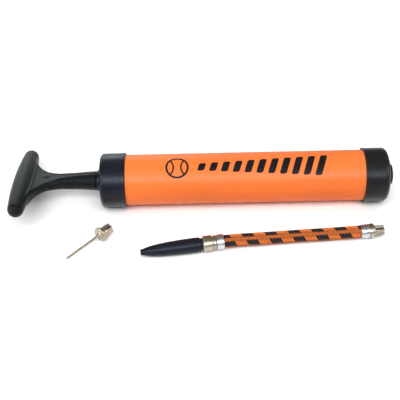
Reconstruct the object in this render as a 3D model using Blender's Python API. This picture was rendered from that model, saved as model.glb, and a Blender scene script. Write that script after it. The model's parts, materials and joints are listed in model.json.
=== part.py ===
"""Hand pump for sports balls, lying on a table with its hose, nozzle and needle.

World frame: +X runs along the pump's axis from the handle to the outlet, +Z is
up, z = 0 is the table.  The origin is under the middle of the pump and needle.
Lengths below are in millimetres and are turned into metres by MM.  Stations
called *_X are measured along the pump's axis from the lip of the front collar.
"""
from math import cos, pi, radians, sin

import bmesh
import bpy
from mathutils import Matrix, Vector

MM = 0.001
GAP = 0.3                   # clearance kept between pieces that touch
LARGE_SIDES = 40            # facets round the barrel and what fits it
SMALL_SIDES = 24            # facets round the fittings and small parts

# ---- driving dimensions -------------------------------------------------
BARREL_R = 19.0             # outside radius of the barrel
WALL = 2.5                  # barrel wall
VISIBLE_BARREL = 177.0      # barrel showing between the two lips
COLLAR_LENGTH = 19.0
CAP_LENGTH = 18.4
ROD_R = 5.5
SHANK_R = 6.15              # waist of the handle's shank
TEE_REACH = 36.75           # from the pump's axis to the centre of a tee's end
TEE_END_R = 5.85
TEE_MID_R = 7.75
TEE_TILT = 11.8             # degrees, front end of the tee raised
STROKE = 175.0              # travel of the piston
HOSE_R = 5.05
PLUG_R = 4.1                # outside radius of the male plugs
PLUG_NECK_R = 3.7           # and of their neck, next to the flange
PLUG_NECK_LENGTH = 2.4
NEEDLE_R = 1.0

# ---- stations along the pump's axis ---------------------------------------
LIP_STEP = 3.2              # width of the raised band at each lip
COLLAR_R = BARREL_R + 1.35
LIP_R = BARREL_R + 1.6
COLLAR_FACE_X = -COLLAR_LENGTH
COLLAR_FLOOR_X = COLLAR_FACE_X + 4.7
CAP_LIP_X = VISIBLE_BARREL
CAP_FACE_X = CAP_LIP_X + CAP_LENGTH
CAP_FLOOR_X = CAP_FACE_X - 4.6
BORE_R = BARREL_R - WALL
BARREL_START_X = COLLAR_FLOOR_X + GAP
GASKET_X = (CAP_FLOOR_X - GAP - 1.4, CAP_FLOOR_X - GAP)
BARREL_END_X = GASKET_X[0] - GAP
BOSS_FACE_X = CAP_FACE_X + 4.0
BOSS_R = 8.1
SLEEVE_R = 6.5
INSERT_START_X = CAP_FLOOR_X - 9.8
SOCKET_DEPTH = 9.0
SOCKET_R = PLUG_R + 0.35
SOCKET_FLOOR_X = BOSS_FACE_X - SOCKET_DEPTH
CHAMBER_END_X = SOCKET_FLOOR_X - 1.9
RING_FACE_X = COLLAR_FACE_X - 3.3
SHANK_END_X = RING_FACE_X - GAP
BUMPER_X = (COLLAR_FLOOR_X + GAP, COLLAR_FLOOR_X + GAP + 3.0)
PISTON_X = (BUMPER_X[1] + 1.0 + STROKE, BUMPER_X[1] + 1.0 + STROKE + 10.0)
TEE_X = -77.6
ROD_SHOULDER_X = SHANK_END_X + GAP
ROD_START_X = SHANK_END_X - 28.0
ROD_SPIGOT_R = 3.2          # ends of the rod, in the handle and in the piston

# Sections of the handle's shank and web: station, half width, half thickness, corner radius.
SHANK_SECTIONS = [
    (SHANK_END_X, 7.2, 7.2, 7.15),
    (-29.5, 6.85, 6.85, 6.8),
    (-37.0, 6.35, 6.35, 6.3),
    (-44.0, SHANK_R, 5.7, 5.1),
    (-50.0, 6.3, 5.0, 4.3),
    (-55.0, 7.6, 4.4, 3.8),
    (-59.5, 9.2, 4.0, 3.4),
    (-63.0, 12.0, 3.9, 3.3),
    (-66.0, 15.2, 4.1, 3.4),
    (-68.6, 19.3, 4.4, 3.7),
    (-71.0, 25.5, 4.7, 4.0),
    (-73.0, 32.0, 4.9, 4.2),
    (TEE_X, 36.0, 5.0, 4.4),
]

# ---- where the pump lies ----------------------------------------------------
PUMP_X = -(TEE_X - TEE_MID_R + BOSS_FACE_X) / 2
PUMP_Y = 13.25
PUMP_Z = LIP_R

# ---- the hose with its fittings, lying in front of the pump -----------------
NOZZLE_TIP = Vector((-45.85, -45.7, 4.56))      # the nozzle lies on its widest part
SOCKET_HEADING = 6.95       # degrees, seen from above
SOCKET_RISE = 1.63          # degrees, the tip a little lower than the socket
NOZZLE_LENGTH = 43.4
SOCKET_START = 45.3         # stations from the nozzle's tip
SOCKET_END = 54.9
FERRULE_END = 60.6
PLUG_FERRULE = Vector((114.35, -31.1, 5.42))
PLUG_HEADING = 5.0
PLUG_FERRULE_LENGTH = 6.1
PLUG_FLANGE_LENGTH = 3.2
PLUG_LENGTH = 7.6
# The route of the hose between its two ferrules, chosen by hand.  The first and
# the last point are worked out from the fittings.
HOSE_ROUTE = [
    (22.0, -37.4, 6.1),
    (30.0, -36.6, 5.75),
    (42.2, -35.6, 5.4),
    (56.9, -34.55, 5.25),
    (71.5, -33.6, 5.25),
    (85.1, -32.85, 5.25),
    (97.2, -32.15, 5.3),
    (107.0, -31.55, 5.38),
]

# ---- the needle, lying on its flange and the end of its plug ----------------
NEEDLE_SEAT = Vector((-76.25, -28.9, 5.73))     # centre of the flange's needle side
NEEDLE_HEADING = 51.0
NEEDLE_DIP = 7.0            # degrees, head end lower than the tip
NEEDLE_REACH = 33.2         # from the flange to the tip
FLANGE_R = 5.5

MATERIALS = {
    "orange_plastic": ((0.95, 0.24, 0.06), 0.35, 0.0),
    "black_plastic": ((0.018, 0.02, 0.026), 0.4, 0.0),
    "handle_plastic": ((0.02, 0.024, 0.026), 0.6, 0.0),
    "rod_steel": ((0.55, 0.55, 0.56), 0.25, 1.0),
    "piston_plastic": ((0.75, 0.74, 0.7), 0.45, 0.0),
    "seal_rubber": ((0.015, 0.015, 0.016), 0.8, 0.0),
    "nickel_brass": ((0.55, 0.50, 0.42), 0.3, 1.0),
    "ferrule_steel": ((0.62, 0.63, 0.64), 0.3, 1.0),
    "hose_braid": ((0.85, 0.22, 0.05), 0.7, 0.0),
    "spring_steel": ((0.45, 0.45, 0.46), 0.3, 1.0),
}


def clear_scene():
    for obj in list(bpy.data.objects):
        bpy.data.objects.remove(obj, do_unlink=True)


def make_materials():
    made = {}
    for name, (colour, roughness, metallic) in MATERIALS.items():
        material = bpy.data.materials.new(name)
        material.use_nodes = True
        shader = material.node_tree.nodes["Principled BSDF"]
        shader.inputs["Base Color"].default_value = (*colour, 1.0)
        shader.inputs["Roughness"].default_value = roughness
        shader.inputs["Metallic"].default_value = metallic
        material.diffuse_color = (*colour, 1.0)
        made[name] = material
    return made


def make_empty(name, matrix):
    empty = bpy.data.objects.new(name, None)
    bpy.context.collection.objects.link(empty)
    empty.matrix_world = matrix
    return empty


def make_object(name, bm, material, parent):
    """Turn a bmesh in millimetres into a named object under parent."""
    bmesh.ops.scale(bm, vec=(MM, MM, MM), verts=bm.verts)
    bmesh.ops.recalc_face_normals(bm, faces=bm.faces)
    mesh = bpy.data.meshes.new(name)
    bm.to_mesh(mesh)
    bm.free()
    mesh.shade_smooth()
    mesh.set_sharp_from_angle(angle=radians(35))
    mesh.materials.append(material)
    obj = bpy.data.objects.new(name, mesh)
    bpy.context.collection.objects.link(obj)
    obj.parent = parent
    return obj


def make_cutter(name, bm, parent):
    obj = make_object(name, bm, None, parent)
    obj.hide_render = True
    obj.display_type = "WIRE"
    return obj


def add_boolean(obj, operation, other):
    modifier = obj.modifiers.new(operation.title(), "BOOLEAN")
    modifier.operation = operation
    modifier.solver = "EXACT"
    modifier.object = other
    return modifier


def arc(centre_x, centre_r, radius, start, end, steps=4):
    """Points of an arc in the (x, radius) plane, angles in degrees from +X."""
    points = []
    for i in range(steps + 1):
        angle = radians(start + (end - start) * i / steps)
        points.append((centre_x + radius * cos(angle), centre_r + radius * sin(angle)))
    return points


def turned(outline, ring=True, sides=LARGE_SIDES):
    """Spin an (x, radius) outline about the X axis.

    A ring's outline is closed on itself; any other one starts and ends on the axis.
    """
    bm = bmesh.new()
    verts = [bm.verts.new((x, 0.0, r)) for x, r in outline]
    pairs = list(zip(verts, verts[1:]))
    if ring:
        pairs.append((verts[-1], verts[0]))
    edges = [bm.edges.new(pair) for pair in pairs]
    bmesh.ops.spin(bm, geom=verts + edges, cent=(0, 0, 0), axis=(1, 0, 0),
                   angle=2 * pi, steps=sides, use_merge=True)
    bmesh.ops.remove_doubles(bm, verts=bm.verts, dist=1e-4)
    return bm


def tube(start, end, outer, inner):
    """Outline of a plain ring between two stations."""
    return [(start, inner), (start, outer), (end, outer), (end, inner)]


# ---- the pump ---------------------------------------------------------------
def build_barrel(materials, axis):
    outline = tube(BARREL_START_X, BARREL_END_X, BARREL_R, BORE_R)
    make_object("barrel", turned(outline), materials["orange_plastic"], axis)


def build_front_collar(materials, axis):
    corner = 3.0
    pocket_r = BARREL_R + GAP
    hole_r = SLEEVE_R + GAP
    outline = [(COLLAR_FACE_X, hole_r)]
    outline += arc(COLLAR_FACE_X + corner, COLLAR_R - corner, corner, 180, 90)
    outline += [(-LIP_STEP - 0.25, COLLAR_R), (-LIP_STEP, LIP_R), (-0.4, LIP_R), (0.0, LIP_R - 0.4)]
    outline += [(0.0, pocket_r), (COLLAR_FLOOR_X, pocket_r), (COLLAR_FLOOR_X, hole_r)]
    make_object("front_collar", turned(outline), materials["black_plastic"], axis)


def build_rod_guide_ring(materials, axis):
    flange_r = 8.1
    bore_r = ROD_R + 0.1
    outline = [(RING_FACE_X, bore_r), (RING_FACE_X, flange_r - 1.0)]
    outline += arc(RING_FACE_X + 1.0, flange_r - 1.0, 1.0, 180, 90, 3)[1:]
    outline += [(COLLAR_FACE_X - GAP, flange_r), (COLLAR_FACE_X - GAP, SLEEVE_R)]
    outline += [(COLLAR_FLOOR_X, SLEEVE_R), (COLLAR_FLOOR_X, bore_r)]
    make_object("rod_guide_ring", turned(outline), materials["black_plastic"], axis)


def build_rod_bumper(materials, axis):
    outline = tube(*BUMPER_X, BORE_R - 3.5, ROD_R + 0.5)
    make_object("rod_bumper", turned(outline), materials["seal_rubber"], axis)


def build_end_cap(materials, axis):
    corner = 4.0
    cap_r = BARREL_R + 1.25
    lip_r = BARREL_R + 1.45
    pocket_r = BARREL_R + 0.5
    hole_r = SLEEVE_R + GAP
    outline = [(CAP_FACE_X, hole_r), (CAP_FLOOR_X, hole_r), (CAP_FLOOR_X, pocket_r), (CAP_LIP_X, pocket_r)]
    outline += [(CAP_LIP_X, lip_r - 0.3), (CAP_LIP_X + 0.3, lip_r), (CAP_LIP_X + LIP_STEP, cap_r)]
    outline += arc(CAP_FACE_X - corner, cap_r - corner, corner, 90, 0, 5)
    make_object("end_cap", turned(outline), materials["black_plastic"], axis)


def build_cap_gasket(materials, axis):
    outline = tube(*GASKET_X, BARREL_R, BORE_R + 0.3)
    make_object("cap_gasket", turned(outline), materials["seal_rubber"], axis)


def build_outlet(materials, axis):
    """Boss with the socket for a plug, its washer and the check valve behind it."""
    passage_r = 1.6
    chamber_r = 4.3
    step_x = CAP_FACE_X + 2.2
    outline = [(INSERT_START_X, chamber_r), (INSERT_START_X, SLEEVE_R), (CAP_FACE_X + GAP, SLEEVE_R)]
    outline += [(CAP_FACE_X + GAP, BOSS_R + 0.35), (step_x, BOSS_R + 0.35), (step_x, BOSS_R - 0.2)]
    outline += arc(BOSS_FACE_X - 0.8, BOSS_R - 1.0, 0.8, 90, 0, 3)
    outline += [(BOSS_FACE_X, SOCKET_R), (SOCKET_FLOOR_X, SOCKET_R), (SOCKET_FLOOR_X, passage_r)]
    outline += [(CHAMBER_END_X, passage_r), (CHAMBER_END_X, chamber_r)]
    make_object("outlet_insert", turned(outline), materials["black_plastic"], axis)

    washer = tube(SOCKET_FLOOR_X + GAP, SOCKET_FLOOR_X + GAP + 1.2, SOCKET_R - GAP, passage_r)
    make_object("outlet_washer", turned(washer, sides=SMALL_SIDES), materials["seal_rubber"], axis)

    seat = tube(INSERT_START_X + 0.2, INSERT_START_X + 2.2, chamber_r - GAP, 1.4)
    make_object("valve_seat", turned(seat, sides=SMALL_SIDES), materials["piston_plastic"], axis)


def build_check_valve(materials, axis):
    """A rubber disc on the barrel's side of the outlet, pushed shut by a coil spring."""
    disc_x = INSERT_START_X + 2.2 + GAP
    disc_r = 3.0
    disc_end_x = disc_x + 1.4
    disc = [(disc_x, 0.0), (disc_x, disc_r), (disc_end_x, disc_r), (disc_end_x, 0.0)]
    make_object("valve_disc", turned(disc, ring=False, sides=SMALL_SIDES), materials["seal_rubber"], axis)

    wire_r = 0.22
    coil_r = 2.3
    turns = 3
    start_x = disc_end_x + GAP + wire_r
    length = CHAMBER_END_X - 1.3 - wire_r - start_x
    curve = bpy.data.curves.new("valve_spring", "CURVE")
    curve.dimensions = "3D"
    curve.bevel_depth = wire_r * MM
    curve.bevel_resolution = 1
    curve.use_fill_caps = True
    spline = curve.splines.new("POLY")
    steps = turns * 14
    spline.points.add(steps)
    for i in range(steps + 1):
        angle = 2 * pi * turns * i / steps
        x = start_x + length * i / steps
        spline.points[i].co = (x * MM, coil_r * cos(angle) * MM, coil_r * sin(angle) * MM, 1.0)
    curve.materials.append(materials["spring_steel"])
    spring = bpy.data.objects.new("valve_spring", curve)
    bpy.context.collection.objects.link(spring)
    spring.parent = axis


def build_piston(materials, axis):
    """Spool with an O-ring in its groove."""
    head_r = BORE_R - 0.2
    ring_r = 1.25
    middle_x = sum(PISTON_X) / 2
    groove = (middle_x - 1.7, middle_x + 1.7)
    groove_r = head_r - 2 * ring_r - 0.15
    bore_r = ROD_SPIGOT_R + 0.1
    outline = [(PISTON_X[0], bore_r), (PISTON_X[0], head_r), (groove[0], head_r), (groove[0], groove_r)]
    outline += [(groove[1], groove_r), (groove[1], head_r), (PISTON_X[1], head_r), (PISTON_X[1], bore_r)]
    make_object("piston_head", turned(outline), materials["piston_plastic"], axis)

    section = arc(middle_x, BORE_R - 0.05 - ring_r, ring_r, 360, 45, 7)
    make_object("piston_o_ring", turned(section), materials["seal_rubber"], axis)


def build_rod(materials, rod_axis):
    """Rod with a spigot for the piston, and the washer and screw that hold it."""
    shoulder_x = PISTON_X[0] - GAP
    spigot_end_x = PISTON_X[1] + GAP
    hole_r = 1.7
    hole_end_x = spigot_end_x - 12.0
    outline = [(ROD_START_X, 0.0), (ROD_START_X, ROD_SPIGOT_R), (ROD_SHOULDER_X, ROD_SPIGOT_R)]
    outline += [(ROD_SHOULDER_X, ROD_R), (shoulder_x, ROD_R), (shoulder_x, ROD_SPIGOT_R)]
    outline += [(spigot_end_x, ROD_SPIGOT_R)]
    outline += [(spigot_end_x, hole_r), (hole_end_x, hole_r), (hole_end_x, 0.0)]
    make_object("piston_rod", turned(outline, ring=False), materials["rod_steel"], rod_axis)

    washer_x = (spigot_end_x + GAP, spigot_end_x + GAP + 0.8)
    washer = tube(*washer_x, 6.0, hole_r)
    make_object("piston_washer", turned(washer, sides=SMALL_SIDES), materials["ferrule_steel"], rod_axis)

    head_x = washer_x[1] + GAP
    head_r = 3.1
    shank_r = 1.4
    head_end_x = head_x + 1.9
    screw = [(hole_end_x + 1.0, 0.0), (hole_end_x + 1.0, shank_r), (head_x, shank_r), (head_x, head_r)]
    screw += [(head_end_x - 0.6, head_r), (head_end_x, head_r - 0.6), (head_end_x, 0.0)]
    screw_bm = turned(screw, ring=False, sides=SMALL_SIDES)
    make_object("piston_screw", screw_bm, materials["ferrule_steel"], rod_axis)


def section_points(half_width, half_height, corner, per_corner=6):
    """Points of a rounded rectangle in the YZ plane, counter-clockwise."""
    points = []
    for quarter in range(4):
        side_y = 1 if quarter in (0, 3) else -1
        side_z = 1 if quarter in (0, 1) else -1
        for i in range(per_corner):
            angle = radians(90 * quarter + 90 * i / (per_corner - 1))
            y = side_y * (half_width - corner) + corner * cos(angle)
            z = side_z * (half_height - corner) + corner * sin(angle)
            points.append((y, z))
    return points


def build_shank(rod_axis, material):
    bm = bmesh.new()
    loops = []
    for x, half_width, half_height, corner in SHANK_SECTIONS:
        points = section_points(half_width, half_height, corner)
        loops.append([bm.verts.new((x, y, z)) for y, z in points])
    for near, far in zip(loops, loops[1:]):
        count = len(near)
        for i in range(count):
            j = (i + 1) % count
            bm.faces.new((near[i], near[j], far[j], far[i]))
    bm.faces.new(loops[0])
    bm.faces.new(loops[-1])
    bmesh.ops.remove_doubles(bm, verts=bm.verts, dist=1e-4)
    return make_object("t_handle", bm, material, rod_axis)


def tee_outline():
    """Outline of the tee, as (distance from the pump's axis, radius) points."""
    end = TEE_REACH
    outline = [(-end - TEE_END_R, 0.0)]
    outline += arc(-end, 0.0, TEE_END_R, 165, 105, 4)
    steps = 12
    for i in range(steps + 1):
        along = -end + 2 * end * i / steps
        swell = (TEE_MID_R - TEE_END_R) * (1 - (along / end) ** 2)
        outline.append((along, TEE_END_R + swell))
    outline += arc(end, 0.0, TEE_END_R, 75, 15, 4)
    outline.append((end + TEE_END_R, 0.0))
    return outline


def build_handle(materials, rod_axis):
    """Tee, web and shank in one moulding, bored for the rod."""
    handle = build_shank(rod_axis, materials["handle_plastic"])
    tee = turned(tee_outline(), ring=False, sides=SMALL_SIDES)
    bmesh.ops.rotate(tee, cent=(0, 0, 0), matrix=Matrix.Rotation(pi / 2, 3, "Z"), verts=tee.verts)
    bmesh.ops.translate(tee, vec=(TEE_X, 0, 0), verts=tee.verts)
    add_boolean(handle, "UNION", make_cutter("tee_guide", tee, rod_axis))
    bore_r = ROD_SPIGOT_R + GAP
    bore = [(ROD_START_X - GAP, 0.0), (ROD_START_X - GAP, bore_r)]
    bore += [(SHANK_END_X + 1.0, bore_r), (SHANK_END_X + 1.0, 0.0)]
    bore_bm = turned(bore, ring=False, sides=SMALL_SIDES)
    add_boolean(handle, "DIFFERENCE", make_cutter("bore_cutter", bore_bm, rod_axis))


# ---- the hose and its fittings ------------------------------------------------
def heading_matrix(origin, heading, rise):
    """Local +X along a level heading, lifted by rise; both in degrees."""
    turn = Matrix.Rotation(radians(heading), 4, "Z") @ Matrix.Rotation(radians(-rise), 4, "Y")
    return Matrix.Translation(origin * MM) @ turn


def nozzle_radius(station):
    """The cone swells quickly at its tip and then runs nearly straight."""
    return max(2.3, 5.52 * (1 - (1 - station / NOZZLE_LENGTH) ** 2.6) ** 0.414)


def build_nozzle(materials, line):
    bore_r = 1.1
    outline = [(0.0, bore_r), (0.0, 1.9)]
    for station in (0.5, 1.5, 3.5, 6.5, 10.0, 14.5, 19.5, 25.0, 32.0, NOZZLE_LENGTH - 0.4):
        outline.append((station, nozzle_radius(station)))
    stub_end = SOCKET_START + 4.5
    neck_end = SOCKET_START - GAP
    outline += [(NOZZLE_LENGTH, 5.1), (NOZZLE_LENGTH, 4.5), (neck_end, 4.5), (neck_end, 3.7)]
    outline += [(stub_end, 3.7), (stub_end, bore_r)]
    make_object("nozzle", turned(outline, sides=SMALL_SIDES), materials["black_plastic"], line)


def build_hose_socket(materials, line):
    """Nickel fitting with a socket for the nozzle in front and a barb behind, and its washer."""
    mouth_r = 4.0
    nut_r = 6.0
    nut_end = SOCKET_START + 6.8
    floor = SOCKET_START + 6.1
    bore_r = 1.2
    barb_r = 3.0
    outline = [(SOCKET_START, mouth_r), (SOCKET_START, nut_r - 0.5), (SOCKET_START + 0.5, nut_r)]
    outline += [(nut_end - 0.5, nut_r), (nut_end, nut_r - 0.5), (nut_end, 5.4), (SOCKET_END, 5.4)]
    outline += [(SOCKET_END, barb_r), (FERRULE_END - GAP, barb_r), (FERRULE_END - GAP, bore_r)]
    outline += [(floor, bore_r), (floor, mouth_r)]
    make_object("hose_socket", turned(outline, sides=SMALL_SIDES), materials["nickel_brass"], line)

    washer = tube(floor - GAP - 0.9, floor - GAP, mouth_r - GAP, bore_r + 0.2)
    make_object("socket_washer", turned(washer, sides=SMALL_SIDES), materials["seal_rubber"], line)


def build_ferrule(name, materials, line, start, end, radius, bore_r):
    chamfer = 0.5
    outline = [(start, bore_r), (start, radius - chamfer), (start + chamfer, radius)]
    outline += [(end - chamfer, radius), (end, radius - chamfer), (end, bore_r)]
    make_object(name, turned(outline, sides=SMALL_SIDES), materials["ferrule_steel"], line)


def build_hose_plug(materials, line):
    """Male plug: barb inside the ferrule, flange, neck and the end that goes into a socket."""
    bore_r = 1.2
    barb_r = 3.0
    flange_r = 5.4
    start = PLUG_FERRULE_LENGTH + GAP
    seat = start + PLUG_FLANGE_LENGTH
    neck_end = seat + PLUG_NECK_LENGTH
    end = seat + PLUG_LENGTH
    outline = [(GAP, bore_r), (GAP, barb_r), (start, barb_r)]
    outline += [(start, flange_r - 0.3), (start + 0.3, flange_r)]
    outline += [(seat - 0.3, flange_r), (seat, flange_r - 0.3), (seat, PLUG_NECK_R)]
    outline += [(neck_end, PLUG_NECK_R), (neck_end + 0.4, PLUG_R)]
    outline += [(end - 0.6, PLUG_R), (end, PLUG_R - 0.6), (end, bore_r)]
    make_object("hose_plug", turned(outline, sides=SMALL_SIDES), materials["nickel_brass"], line)


def build_hose(materials, socket_line, plug_line):
    start = socket_line.matrix_world @ Vector(((FERRULE_END + GAP) * MM, 0, 0))
    end = plug_line.matrix_world @ Vector((-GAP * MM, 0, 0))
    route = [start] + [Vector(point) * MM for point in HOSE_ROUTE] + [end]
    curve = bpy.data.curves.new("hose", "CURVE")
    curve.dimensions = "3D"
    curve.bevel_depth = HOSE_R * MM
    curve.bevel_resolution = 4
    curve.use_fill_caps = True
    spline = curve.splines.new("POLY")
    spline.points.add(len(route) - 1)
    for target, point in zip(spline.points, route):
        target.co = (*point, 1.0)
    curve.materials.append(materials["hose_braid"])
    hose = bpy.data.objects.new("hose", curve)
    bpy.context.collection.objects.link(hose)


# ---- the needle -----------------------------------------------------------------
def build_needle(materials, line):
    """Local +X runs from the tip to the plug's end; the flange starts at 0."""
    bore_r = NEEDLE_R + 0.05
    flange_end = 2.2
    neck_end = flange_end + PLUG_NECK_LENGTH
    plug_end = 11.0
    outline = [(-1.6, bore_r), (-1.6, 1.6), (0.0, 2.0), (0.0, FLANGE_R - 0.3), (0.3, FLANGE_R)]
    outline += [(flange_end - 0.3, FLANGE_R), (flange_end, FLANGE_R - 0.3), (flange_end, PLUG_NECK_R)]
    outline += [(neck_end, PLUG_NECK_R), (neck_end + 0.4, PLUG_R), (plug_end - 0.5, PLUG_R)]
    outline += [(plug_end, PLUG_R - 0.5), (plug_end, bore_r)]
    make_object("needle_hub", turned(outline, sides=SMALL_SIDES), materials["nickel_brass"], line)

    air_r = 0.5
    tip_x = -NEEDLE_REACH
    needle = [(tip_x, air_r), (tip_x, NEEDLE_R - 0.2), (tip_x + 0.3, NEEDLE_R)]
    needle += [(plug_end - 3.0, NEEDLE_R), (plug_end - 3.0, air_r)]
    make_object("needle_tube", turned(needle, sides=16), materials["nickel_brass"], line)


def main():
    clear_scene()
    materials = make_materials()
    axis_matrix = Matrix.Translation(Vector((PUMP_X, PUMP_Y, PUMP_Z)) * MM)
    axis = make_empty("pump_axis", axis_matrix)
    tilt = Matrix.Rotation(radians(-TEE_TILT), 4, "X")
    rod_axis = make_empty("rod_axis", axis_matrix @ tilt)
    socket_line = make_empty("socket_line", heading_matrix(NOZZLE_TIP, SOCKET_HEADING, SOCKET_RISE))
    plug_line = make_empty("plug_line", heading_matrix(PLUG_FERRULE, PLUG_HEADING, 0.0))
    needle_line = make_empty("needle_line", heading_matrix(NEEDLE_SEAT, NEEDLE_HEADING, -NEEDLE_DIP))

    build_barrel(materials, axis)
    build_front_collar(materials, axis)
    build_rod_guide_ring(materials, axis)
    build_rod_bumper(materials, axis)
    build_end_cap(materials, axis)
    build_cap_gasket(materials, axis)
    build_outlet(materials, axis)
    build_check_valve(materials, axis)
    build_piston(materials, axis)
    build_rod(materials, rod_axis)
    build_handle(materials, rod_axis)
    build_nozzle(materials, socket_line)
    build_hose_socket(materials, socket_line)
    build_ferrule("ferrule_socket_end", materials, socket_line, SOCKET_END + GAP, FERRULE_END, 5.83, 3.3)
    build_hose(materials, socket_line, plug_line)
    build_ferrule("ferrule_plug_end", materials, plug_line, 0.0, PLUG_FERRULE_LENGTH, 5.25, 3.3)
    build_hose_plug(materials, plug_line)
    build_needle(materials, needle_line)


main()
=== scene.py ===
"""Looks of a ball pump with its hose, nozzle and needle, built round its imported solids.

Each operator makes one piece or one group of like pieces, in metres, in the
frame of the solids.  Turned pieces are drawn as (station, radius) outlines in
millimetres along their own axis and spun by Blender.
"""
import json
from math import atan2, cos, exp, pi, radians, sin, sqrt

import bmesh
import bpy
from mathutils import Matrix, Vector
from mathutils.kdtree import KDTree


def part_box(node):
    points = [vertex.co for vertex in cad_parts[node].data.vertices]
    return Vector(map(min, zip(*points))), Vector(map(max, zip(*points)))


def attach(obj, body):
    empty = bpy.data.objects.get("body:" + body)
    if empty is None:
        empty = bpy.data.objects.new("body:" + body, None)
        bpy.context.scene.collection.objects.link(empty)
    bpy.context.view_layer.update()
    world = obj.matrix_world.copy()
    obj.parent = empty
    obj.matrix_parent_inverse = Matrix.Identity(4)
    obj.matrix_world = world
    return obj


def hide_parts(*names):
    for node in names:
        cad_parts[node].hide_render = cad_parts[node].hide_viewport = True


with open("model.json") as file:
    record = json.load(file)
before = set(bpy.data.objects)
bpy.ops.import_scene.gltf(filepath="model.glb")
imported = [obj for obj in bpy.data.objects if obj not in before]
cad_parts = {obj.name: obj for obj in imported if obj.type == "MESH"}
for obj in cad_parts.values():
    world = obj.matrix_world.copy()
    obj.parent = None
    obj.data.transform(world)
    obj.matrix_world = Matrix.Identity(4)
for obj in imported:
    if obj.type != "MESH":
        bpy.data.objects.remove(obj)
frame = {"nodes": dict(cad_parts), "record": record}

bl_info = {
    "name": "Ball Pump Builder",
    "version": (1, 0, 0),
    "blender": (4, 5, 0),
    "location": "3D View > Sidebar > Ball Pump",
    "description": "Builds a hand pump with its braided hose, cone nozzle and needle",
    "category": "Object",
}

MM = 0.001
UP = Vector((0, 0, 1))
FINE_SIDES = 128            # facets round the barrel and the caps
MEDIUM_SIDES = 96           # round the boss, the piston and the fittings
SMALL_SIDES = 72            # round the rod
FLUTED_SIDES = 144          # round the male plugs, whose grooves need more

# Dimensions in mm that the solids' boxes don't give.
GAP = 0.3                   # clearance between pieces that touch
WALL = 2.5                  # barrel wall
COLLAR_DEPTH = 4.7          # thickness of the collar's end wall
CAP_DEPTH = 4.6
CAP_HOLE_R = 6.8            # holes in the middle of the collar and of the cap
RING_BORE_R = 5.6
SOCKET_BORE_R = 4.3
SOCKET_DEPTH = 9.0
ROD_SPIGOT_R = 3.2          # ends of the rod, in the handle and in the piston
ROD_SHOULDER_X = -22.3
PLUG_R = 4.08               # outside radius of the male plugs
FLUTE_DEPTH = 0.95
FLUTE_TURN = radians(-103)  # turns the grooves round the plug
PLUG_FERRULE_LENGTH = 6.1
PLUG_FLANGE_LENGTH = 3.2
PLUG_LENGTH = 7.6
NEEDLE_REACH = 33.2         # from the flange to the tip
NEEDLE_PLUG_END = 11.0


# ---- where the solids are
def node_points(name):
    return [vertex.co.copy() for vertex in frame["nodes"][name].data.vertices]


def mount_axis(name):
    for mount in frame["record"]["mounts"]:
        if mount["name"] == name:
            return Vector(mount["axis"]).normalized()
    raise LookupError(f"no mount called {name}")


def joint_axis(name):
    for joint in frame["record"]["behaviour"]["joints"]:
        if joint["name"] == name:
            return Vector(joint["axis"]).normalized()
    raise LookupError(f"no joint called {name}")


def axis_frame(origin, direction):
    """A matrix whose +X runs along direction and whose +Z is as near upright as can be."""
    x = direction.normalized()
    y = UP.cross(x).normalized()
    z = x.cross(y)
    turn = Matrix((x, y, z)).transposed().to_4x4()
    return Matrix.Translation(origin) @ turn


def node_line(name, direction):
    """Frame on a turned solid's axis, starting at its first end, and its length in mm.

    The vertices of every ring round the axis have their mean on it, so the middle
    of the solid's ends is found from the vertices that lie furthest along it.
    """
    direction = direction.normalized()
    points = node_points(name)
    along = [point.dot(direction) for point in points]
    first, last = min(along), max(along)
    ring = [point for point, a in zip(points, along) if a < first + 0.01 * MM]
    low = Vector(min(point[i] for point in ring) for i in range(3))
    high = Vector(max(point[i] for point in ring) for i in range(3))
    return axis_frame((low + high) / 2, direction), (last - first) / MM


BARREL_LOW, BARREL_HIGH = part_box("barrel")
COLLAR_LOW, COLLAR_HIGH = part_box("front_collar")
CAP_LOW, CAP_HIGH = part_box("end_cap")
BOSS_LOW, BOSS_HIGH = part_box("outlet_insert")
RING_LOW, RING_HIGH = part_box("rod_guide_ring")
ROD_LOW, ROD_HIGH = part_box("piston_rod")
AXIS_Y = (COLLAR_LOW.y + COLLAR_HIGH.y) / 2
AXIS_Z = (COLLAR_LOW.z + COLLAR_HIGH.z) / 2
BARREL_R = (BARREL_HIGH.z - BARREL_LOW.z) / 2 / MM
# The pump's own frame starts at the lip of the front collar.
PUMP = Matrix.Translation((COLLAR_HIGH.x, AXIS_Y, AXIS_Z))


def pump_station(x):
    """Station in mm along the pump's axis of a place on the world's X axis."""
    return (x - COLLAR_HIGH.x) / MM


# ---- what a user would change
def length_property(name, description, default):
    return bpy.props.FloatProperty(name=name, description=description, default=default, min=0.0,
                                   precision=5, subtype="DISTANCE", unit="LENGTH")


def colour_property(name, description, default):
    return bpy.props.FloatVectorProperty(name=name, description=description, default=default,
                                         min=0.0, max=1.0, size=3, subtype="COLOR")


class BALLPUMP_PG_sizes(bpy.types.PropertyGroup):
    lip_band: length_property("Lip band", "Width of the raised band on the lips", 0.0032)
    voxel: length_property("Handle mesh", "Edge length of the handle's mesh", 0.00042)
    braid_pitch: length_property("Braid pitch", "Length in which a yarn goes once round", 0.01695)
    yarn_end: length_property("Yarn end", "Thickness of one end of a braid yarn", 0.00062)
    braid_carriers: bpy.props.IntProperty(name="Carriers", default=8, min=4, max=16,
                                          description="Yarns that run each way round the braid")
    flutes: bpy.props.IntProperty(name="Flutes", default=6, min=3, max=16,
                                  description="Grooves along the male plugs")


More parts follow.
